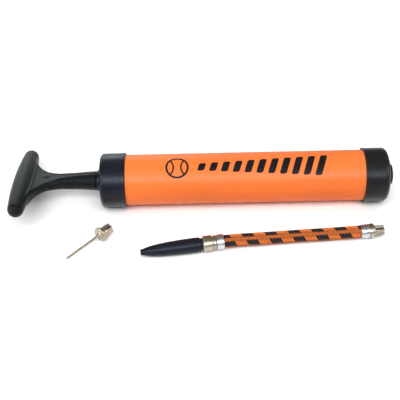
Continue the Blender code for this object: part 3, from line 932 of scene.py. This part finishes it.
def make_socket():
    """Nickel fitting: a chamfered round nut, a waisted neck and the barb inside the hose."""
    nut_end = SOCKET_START + 6.8
    floor = SOCKET_START + 6.1
    nut_r, mouth_r = 5.95, 4.0
    barb_end = FERRULE_END - GAP
    outline = [(SOCKET_START + 0.5, mouth_r), (SOCKET_START, 4.5), (SOCKET_START, 5.35)]
    outline += [(SOCKET_START + 0.6, nut_r), (nut_end - 0.5, nut_r), (nut_end, 5.5)]
    outline += [(nut_end, 5.05), (nut_end + 0.8, 4.95), (nut_end + 1.1, 5.35), (SOCKET_END, 5.38)]
    outline += [(SOCKET_END, BARB_R), (barb_end, BARB_R), (barb_end, AIR_R)]
    outline += [(floor, AIR_R), (floor, mouth_r)]
    new_piece("socket_fitting", turned(softened(outline, 0.12), sides=MEDIUM_SIDES), socket_line(),
              "nickel", "hose_set", ["hose_socket"])


def make_ferrules():
    """Two crimped sleeves with rolled ends and shallow crimp rings."""
    bore = BARB_R + GAP
    start, end, radius = SOCKET_END + GAP, FERRULE_END, 5.8
    outline = [(start, bore), (start, radius - 0.6)]
    outline += [(start + 0.35, radius - 0.08), (start + 1.0, radius)]
    outline += [(start + 2.0, radius - 0.05), (start + 2.4, radius - 0.3)]
    outline += [(start + 2.9, radius - 0.3), (start + 3.3, radius - 0.05)]
    outline += [(end - 0.5, radius), (end, radius - 0.3), (end, 4.6), (end - 0.6, bore)]
    new_piece("socket_ferrule", turned(softened(outline, 0.2), sides=MEDIUM_SIDES), socket_line(),
              "silver", "hose_set", ["ferrule_socket_end"])
    length, radius = PLUG_FERRULE_LENGTH, 5.22
    outline = [(0.6, bore), (0.0, 4.4), (0.0, radius - 0.3), (0.4, radius), (1.6, radius - 0.02)]
    outline += [(2.0, radius - 0.28), (2.6, radius - 0.28), (3.0, radius - 0.02)]
    outline += [(length - 1.5, radius), (length - 1.2, radius - 0.35)]
    outline += [(length - 0.9, radius - 0.35), (length - 0.6, radius)]
    outline += [(length - 0.15, radius), (length, radius - 0.2), (length, bore)]
    new_piece("plug_ferrule", turned(softened(outline, 0.15), sides=MEDIUM_SIDES), plug_line(),
              "silver", "hose_set", ["ferrule_plug_end"])


def make_plug():
    """Flanged male plug with flutes along it."""
    start = PLUG_FERRULE_LENGTH + GAP
    seat = start + PLUG_FLANGE_LENGTH
    end = seat + PLUG_LENGTH
    flange_r, neck_r = 5.36, 3.6
    outline = [(GAP, AIR_R), (GAP, BARB_R), (start, BARB_R), (start, 4.9)]
    outline += [(start + 0.5, flange_r), (start + 2.6, flange_r), (seat, 5.0)]
    outline += [(seat, neck_r), (seat + 0.8, neck_r), (seat + 1.2, PLUG_R), (end - 0.7, PLUG_R)]
    outline += [(end, 3.4), (end, 2.1), (end - 0.9, 1.4), (end - 0.9, AIR_R)]
    outline = with_stations(softened(outline, 0.15), 0.5, 3.9)
    bm = turned(outline, sides=FLUTED_SIDES)
    fluted(bm, seat + 0.9, end + 0.1)
    new_piece("male_plug", bm, plug_line(), "nickel", "hose_set", ["hose_plug"])


# ---- the braided hose
# The route of the hose between its two ferrules, as in the solids.
HOSE_ROUTE = [
    (22.0, -37.4, 6.1),
    (30.0, -36.6, 5.75),
    (42.2, -35.6, 5.4),
    (56.9, -34.55, 5.25),
    (71.5, -33.6, 5.25),
    (85.1, -32.85, 5.25),
    (97.2, -32.15, 5.3),
    (107.0, -31.55, 5.38),
]
HOSE_R = 5.05
TRACER_ANGLE = 13.8         # degrees above level, on the hose's front side
FALLING_BIAS = 0.42         # how much longer the falling yarns float than the rising ones
TRACER_STATION = 35.45      # world X in mm where a tracer patch is centred on that row
ENDS_PER_YARN = (-1, 0, 1)
END_SPACING = 0.82          # of an end's thickness
YARN_WAVE = 0.34            # how far a yarn rises and dips as it crosses the others
YARN_CROWN = 0.1            # how far its middle end stands above the outer two
LINER_R = HOSE_R - 1.35
POINTS_PER_TURN = 44


def hose_ends():
    start = socket_line() @ Vector(((FERRULE_END + GAP) * MM, 0, 0))
    end = plug_line() @ Vector((-GAP * MM, 0, 0))
    return start, end


def hose_line(per_span=24):
    """Smooth line through the route, as points in metres."""
    start, end = hose_ends()
    route = [start] + [Vector(point) * MM for point in HOSE_ROUTE] + [end]
    ends = [route[0] * 2 - route[1]] + route + [route[-1] * 2 - route[-2]]
    line = []
    for i in range(len(route) - 1):
        for k in range(per_span):
            line.append(between(*ends[i:i + 4], k / per_span))
    line.append(route[-1])
    return line


def measured(line):
    """Distance along the line at each of its points."""
    along = [0.0]
    for a, b in zip(line, line[1:]):
        along.append(along[-1] + (b - a).length)
    return along


class HoseFrame:
    """Places round the hose: distance along it, angle round it and radius."""

    def __init__(self):
        self.line = hose_line()
        self.along = measured(self.line)
        self.length = self.along[-1]

    def at(self, distance):
        """Point on the line and unit vectors along, to the front and up."""
        distance = min(max(distance, 0.0), self.length - 1e-9)
        i = next(k for k in range(len(self.along) - 1) if self.along[k + 1] > distance)
        t = (distance - self.along[i]) / (self.along[i + 1] - self.along[i])
        point = self.line[i].lerp(self.line[i + 1], t)
        ahead = self.line[min(i + 2, len(self.line) - 1)] - self.line[max(i - 1, 0)]
        tangent = ahead.normalized()
        front = tangent.cross(UP).normalized()
        return point, tangent, front, front.cross(tangent)


def braid_strand(curve, stations, hand, start_angle, side, radii, slot):
    """One end of a braid yarn as a spline.

    stations are (distance, point, front, up) round which the strand winds, hand is
    its sense, side the end's offset across its yarn, radii the middle and the wave.
    """
    pitch = sizes().braid_pitch
    middle, wave = radii
    rows = radians(TRACER_ANGLE)
    turn = 2 * pi / pitch
    spline = curve.splines.new("POLY")
    spline.points.add(len(stations) - 1)
    spline.material_index = slot
    lean = atan2(2 * pi * middle, pitch)
    for target, (distance, point, front, up) in zip(spline.points, stations):
        shifted = distance + side / sin(lean)
        angle = start_angle + hand * turn * shifted
        swell = -hand * wave * (cos(4 * (angle - rows)) + FALLING_BIAS)
        radius = middle + swell
        place_at = point + radius * (cos(angle) * front + sin(angle) * up)
        target.co = (*place_at, 1.0)


def make_hose():
    """A two-over-two braid over a rubber liner; half the yarns of one hand are black."""
    hose = HoseFrame()
    carriers = sizes().braid_carriers
    end_width = sizes().yarn_end
    thick = end_width / 2
    wave = YARN_WAVE * MM
    crown = YARN_CROWN * MM
    middle = HOSE_R * MM - thick - (1 + FALLING_BIAS) * wave - crown
    steps = int(hose.length / sizes().braid_pitch * POINTS_PER_TURN)
    stations = []
    for i in range(steps + 1):
        distance = hose.length * i / steps
        point, _, front, up = hose.at(distance)
        stations.append((distance, point, front, up))
    start_x = stations[0][1].x
    tracer = TRACER_STATION * MM - start_x
    curve = bpy.data.curves.new("braid", "CURVE")
    curve.dimensions = "3D"
    curve.bevel_depth = thick
    curve.bevel_resolution = 1
    curve.use_fill_caps = True
    for name in ("orange_yarn", "black_yarn", "soft_rubber"):
        curve.materials.append(material(name))
    pitch = sizes().braid_pitch
    for i in range(carriers):
        around = 2 * pi * (i + 0.5) / carriers
        for end in ENDS_PER_YARN:
            side = end * end_width * END_SPACING
            raised = middle + (0 if end else crown)
            dark = i < carriers // 4 or i >= carriers - carriers // 4
            falling = radians(TRACER_ANGLE) + 2 * pi * tracer / pitch + around
            braid_strand(curve, stations, -1, falling, side, (raised, wave), 1 if dark else 0)
            braid_strand(curve, stations, 1, around, side, (raised, wave), 0)
    add_liner(hose, curve)
    winding = linked("braid", curve)
    graph = bpy.context.evaluated_depsgraph_get()
    mesh = bpy.data.meshes.new_from_object(winding.evaluated_get(graph))
    bpy.data.objects.remove(winding, do_unlink=True)
    mark_height(mesh, stations)
    mesh.shade_smooth()
    braid = linked("braided_hose", mesh)
    declare(braid, "hose_set", ["hose"])
    return braid, hose


def mark_height(mesh, stations):
    """Store how far each point stands out from the hose's centre line, for the painted shade that darkens
    the gaps.
    """
    tree = KDTree(len(stations))
    for i, (_, point, _, _) in enumerate(stations):
        tree.insert(point, i)
    tree.balance()
    heights = []
    for vertex in mesh.vertices:
        nearest, i, _ = tree.find(vertex.co)
        _, _, front, up = stations[i]
        offset = vertex.co - nearest
        heights.append(sqrt(offset.dot(front) ** 2 + offset.dot(up) ** 2))
    mesh.attributes.new("height", "FLOAT", "POINT").data.foreach_set("value", heights)


def add_liner(hose, curve):
    """The rubber liner, one thick strand close under the braid, so that no gap shows through."""
    spline = curve.splines.new("POLY")
    count = 40
    spline.points.add(count)
    spline.material_index = 2
    for i in range(count + 1):
        point, _, _, _ = hose.at(hose.length * i / count)
        spline.points[i].co = (*point, 1.0)
        spline.points[i].radius = LINER_R * MM / curve.bevel_depth


# ---- the needle
def needle_line():
    """Axis of the needle with its zero at the flange's needle side."""
    line, _ = node_line("needle_tube", mount_axis("needle_seat"))
    return line @ Matrix.Translation((NEEDLE_REACH * MM, 0, 0))


def make_needle():
    """Drilled hub with a flange and fluted plug, and the thin tube with its side hole."""
    bore, flange_r, neck_r = 1.05, 5.48, 3.7
    end = NEEDLE_PLUG_END
    outline = [(-1.6, bore), (-1.6, 1.45), (-0.5, 1.75), (0.0, 2.4), (0.0, 4.9), (0.25, 5.35)]
    outline += [(0.7, flange_r), (1.5, flange_r), (1.95, 5.35), (2.2, 4.9)]
    outline += [(2.2, neck_r), (4.6, neck_r), (5.0, PLUG_R), (end - 0.7, PLUG_R)]
    outline += [(end, 3.4), (end, 2.2), (10.2, 1.5), (8.2, 1.4), (8.2, bore)]
    outline = with_stations(softened(outline, 0.18), 0.5, 3.9)
    bm = turned(outline, sides=FLUTED_SIDES)
    fluted(bm, 4.7, end + 0.2)
    new_piece("needle_head", bm, needle_line(), "nickel", "needle", ["needle_hub"])
    tip, radius, air_r = -NEEDLE_REACH, 1.0, 0.5
    outline = [(tip, air_r), (tip, 0.78), (tip + 0.12, 0.92), (tip + 0.35, radius)]
    outline += [(8.0, radius), (8.0, air_r)]
    outline = with_stations(outline, 1.0, 0.9)
    bm = turned(outline, sides=40)
    for vertex in bm.verts:
        # A small side hole's dent just behind the tip.
        x, y, z = vertex.co
        if z > 0.3:
            vertex.co.z -= 0.35 * blend_into(sqrt((x - tip - 3.0) ** 2 + (1.5 * y) ** 2), 0.0, 0.7)
    new_piece("needle_pipe", bm, needle_line(), "nickel", "needle", ["needle_tube"])


# ---- the pieces that stay as solids
KEPT = {
    "rod_bumper": "soft_rubber",
    "cap_gasket": "soft_rubber",
    "outlet_washer": "soft_rubber",
    "socket_washer": "soft_rubber",
    "valve_disc": "soft_rubber",
    "valve_seat": "acetal",
    "valve_spring": "spring_wire",
    "piston_washer": "silver",
    "piston_screw": "silver",
}


def dress_solids():
    for name, finish in KEPT.items():
        mesh = frame["nodes"][name].data
        mesh.materials.clear()
        mesh.materials.append(material(finish))


# ---- the stage
VIEW_TARGET = Vector((-0.00217, 0.01077, -0.00008))
VIEW_AZIMUTH = -0.12
VIEW_ELEVATION = 45.0
VIEW_ROLL = -1.19
VIEW_DISTANCE = 0.6276
VIEW_LENS = 73.3
WORLD_STRENGTH = 0.1


def aimed(target, azimuth, elevation, distance):
    """Matrix of a lamp or camera that looks at the target; the angles are in degrees."""
    a, e = radians(azimuth), radians(elevation)
    back = Vector((sin(a) * cos(e), -cos(a) * cos(e), sin(e)))
    turn = (-back).to_track_quat("-Z", "Y").to_matrix().to_4x4()
    return Matrix.Translation(target + back * distance) @ turn


def make_camera():
    data = bpy.data.cameras.new("camera")
    data.lens = VIEW_LENS
    data.sensor_width = 36.0
    data.clip_start = 0.01
    data.clip_end = 20.0
    camera = linked("camera", data)
    roll = Matrix.Rotation(radians(VIEW_ROLL), 4, "Z")
    camera.matrix_world = aimed(VIEW_TARGET, VIEW_AZIMUTH, VIEW_ELEVATION, VIEW_DISTANCE) @ roll
    bpy.context.scene.camera = camera


def add_softbox(name, azimuth, elevation, distance, size, power, colour=(1, 1, 1), glint=False):
    """A rectangular light aimed at the pump.  One that glints is only seen in reflections."""
    data = bpy.data.lights.new(name, "AREA")
    data.shape = "RECTANGLE"
    data.size, data.size_y = size
    data.energy = power
    data.color = colour
    lamp = linked(name, data)
    lamp.matrix_world = aimed(Vector(), azimuth, elevation, distance)
    lamp.visible_diffuse = not glint
    lamp.visible_glossy = glint


def make_stage():
    bm = bmesh.new()
    bmesh.ops.create_grid(bm, x_segments=2, y_segments=2, size=6.0)
    floor = mesh_object("floor", bm)
    floor.data.materials.append(material("floor_card"))
    world = bpy.data.worlds.new("studio")
    world.use_nodes = True
    background = world.node_tree.nodes["Background"]
    background.inputs["Color"].default_value = (1, 1, 1, 1)
    background.inputs["Strength"].default_value = WORLD_STRENGTH
    bpy.context.scene.world = world
    add_softbox("key_box", -4, 58, 1.3, (1.3, 0.5), 15)
    add_softbox("dome_box", 0, 89, 1.5, (3.0, 3.0), 36)
    add_softbox("front_glint", -3, 45, 1.4, (1.3, 0.14), 24, (0.8, 0.88, 1.0), glint=True)
    add_softbox("back_glint", 197, 20, 1.5, (1.05, 0.45), 8, (0.88, 1.0, 1.0), glint=True)
    add_softbox("left_glint", -70, 24, 1.0, (0.12, 0.5), 7, glint=True)
    add_softbox("right_glint", 72, 30, 1.0, (0.12, 0.5), 5, glint=True)
    add_softbox("dome_glint", 0, 89, 1.6, (3.0, 3.0), 5, glint=True)
    bpy.context.scene.view_settings.view_transform = "Standard"
    make_camera()


# ---- operators
class BALLPUMP_OT_barrel(bpy.types.Operator):
    """Make the barrel and the print on it"""
    bl_idname = "ballpump.barrel"
    bl_label = "Barrel"

    def execute(self, context):
        make_barrel()
        make_print()
        return {"FINISHED"}


class BALLPUMP_OT_collar(bpy.types.Operator):
    """Make the front collar and the ring that guides the rod"""
    bl_idname = "ballpump.collar"
    bl_label = "Front collar"

    def execute(self, context):
        make_collar()
        make_guide_ring()
        return {"FINISHED"}


class BALLPUMP_OT_end_cap(bpy.types.Operator):
    """Make the end cap and the outlet's boss"""
    bl_idname = "ballpump.end_cap"
    bl_label = "End cap"

    def execute(self, context):
        make_end_cap()
        make_outlet_boss()
        return {"FINISHED"}


class BALLPUMP_OT_handle(bpy.types.Operator):
    """Make the handle"""
    bl_idname = "ballpump.handle"
    bl_label = "Handle"

    def execute(self, context):
        make_handle()
        return {"FINISHED"}


class BALLPUMP_OT_rod(bpy.types.Operator):
    """Make the rod and the piston"""
    bl_idname = "ballpump.rod"
    bl_label = "Rod and piston"

    def execute(self, context):
        make_rod()
        make_piston()
        return {"FINISHED"}


class BALLPUMP_OT_fittings(bpy.types.Operator):
    """Make the nozzle, the socket, the ferrules and the plug of the hose"""
    bl_idname = "ballpump.fittings"
    bl_label = "Hose fittings"

    def execute(self, context):
        make_nozzle()
        make_socket()
        make_ferrules()
        make_plug()
        return {"FINISHED"}


class BALLPUMP_OT_hose(bpy.types.Operator):
    bl_idname = "ballpump.hose"
    bl_label = "Hose"

    def execute(self, context):
        braid, hose = make_hose()
        start, _ = hose_ends()
        tuple(start)
        [tuple(point) for point in hose.line]
        return {"FINISHED"}


class BALLPUMP_OT_needle(bpy.types.Operator):
    """Make the needle"""
    bl_idname = "ballpump.needle"
    bl_label = "Needle"

    def execute(self, context):
        make_needle()
        return {"FINISHED"}


class BALLPUMP_OT_inner_parts(bpy.types.Operator):
    """Give the washers, the valve and the screw their finishes"""
    bl_idname = "ballpump.inner_parts"
    bl_label = "Inner parts"

    def execute(self, context):
        dress_solids()
        return {"FINISHED"}


class BALLPUMP_OT_stage(bpy.types.Operator):
    """Make the floor, the lights and the camera"""
    bl_idname = "ballpump.stage"
    bl_label = "Stage"

    def execute(self, context):
        make_stage()
        return {"FINISHED"}


OPERATORS = (
    BALLPUMP_OT_stage,
    BALLPUMP_OT_fittings,
    BALLPUMP_OT_hose,
    BALLPUMP_OT_barrel,
    BALLPUMP_OT_collar,
    BALLPUMP_OT_end_cap,
    BALLPUMP_OT_handle,
    BALLPUMP_OT_rod,
    BALLPUMP_OT_needle,
    BALLPUMP_OT_inner_parts,
)


class BALLPUMP_PT_panel(bpy.types.Panel):
    """Panel that lists the operators and the values they use"""
    bl_label = "Ball Pump"
    bl_idname = "BALLPUMP_PT_panel"
    bl_space_type = "VIEW_3D"
    bl_region_type = "UI"
    bl_category = "Ball Pump"

    def draw(self, context):
        for operator in OPERATORS:
            self.layout.operator(operator.bl_idname)
        for group in (context.scene.ballpump_sizes, context.scene.ballpump_colours):
            box = self.layout.box()
            for name in group.__annotations__:
                box.prop(group, name)


CLASSES = (BALLPUMP_PG_sizes, BALLPUMP_PG_colours, *OPERATORS, BALLPUMP_PT_panel)


def register():
    for cls in CLASSES:
        bpy.utils.register_class(cls)
    bpy.types.Scene.ballpump_sizes = bpy.props.PointerProperty(type=BALLPUMP_PG_sizes)
    bpy.types.Scene.ballpump_colours = bpy.props.PointerProperty(type=BALLPUMP_PG_colours)


def unregister():
    del bpy.types.Scene.ballpump_colours
    del bpy.types.Scene.ballpump_sizes
    for cls in reversed(CLASSES):
        bpy.utils.unregister_class(cls)


def main():
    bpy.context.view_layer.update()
    register()
    for operator in OPERATORS:
        group, name = operator.bl_idname.split(".")
        getattr(getattr(bpy.ops, group), name)()


if __name__ == "__main__":
    main()
